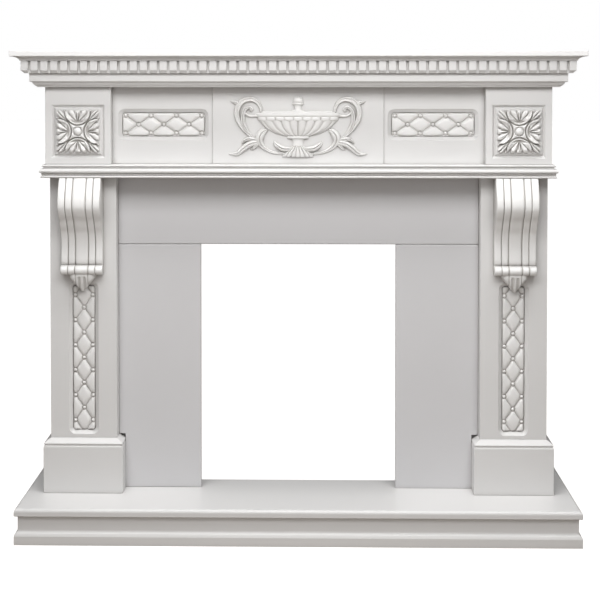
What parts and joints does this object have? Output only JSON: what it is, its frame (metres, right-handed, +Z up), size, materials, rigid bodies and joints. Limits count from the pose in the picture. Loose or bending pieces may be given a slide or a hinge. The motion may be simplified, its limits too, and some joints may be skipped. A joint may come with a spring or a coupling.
{
  "type": "fireplace mantelpiece",
  "caption": "Painted classical mantelpiece on a raised hearth, with scroll corbels, quilted panels, an urn relief, rosettes and a dentilled shelf, open in the middle for a firebox.",
  "frame": {"origin": "middle of the footprint on the floor: halfway across, halfway between the hearth nose and the wall plane", "axes": "+X to the viewer's right along the shelf, +Y from the room to the wall, +Z up"},
  "size_m": [1.366, 0.39, 1.1682],
  "materials": {
    "board_white": "board under warm white satin paint",
    "ornament_white": "carved work under the same white satin paint",
    "infill_white": "flat infill panel under cooler white matt paint"
  },
  "bodies": {
    "root": {"hearth_slab": "board_white", "hearth_apron_front": "board_white", "hearth_apron_left": "board_white", "hearth_apron_right": "board_white", "plinth_left": "board_white", "pilaster_left": "board_white", "pilaster_insert_left": "ornament_white", "corbel_left": "ornament_white", "infill_left": "infill_white", "corner_block_left": "board_white", "rosette_left": "ornament_white", "frieze_insert_left": "ornament_white", "plinth_right": "board_white", "pilaster_right": "board_white", "pilaster_insert_right": "ornament_white", "corbel_right": "ornament_white", "infill_right": "infill_white", "corner_block_right": "board_white", "rosette_right": "ornament_white", "frieze_insert_right": "ornament_white", "infill_lintel": "infill_white", "architrave_front": "board_white", "architrave_left": "board_white", "architrave_right": "board_white", "frieze_board": "board_white", "centre_panel": "board_white", "urn_relief": "ornament_white", "fascia_front": "board_white", "fascia_left": "board_white", "fascia_right": "board_white", "dentil_course_front": "board_white", "dentil_course_left": "board_white", "dentil_course_right": "board_white", "shelf": "board_white"}
  },
  "joints": []
}
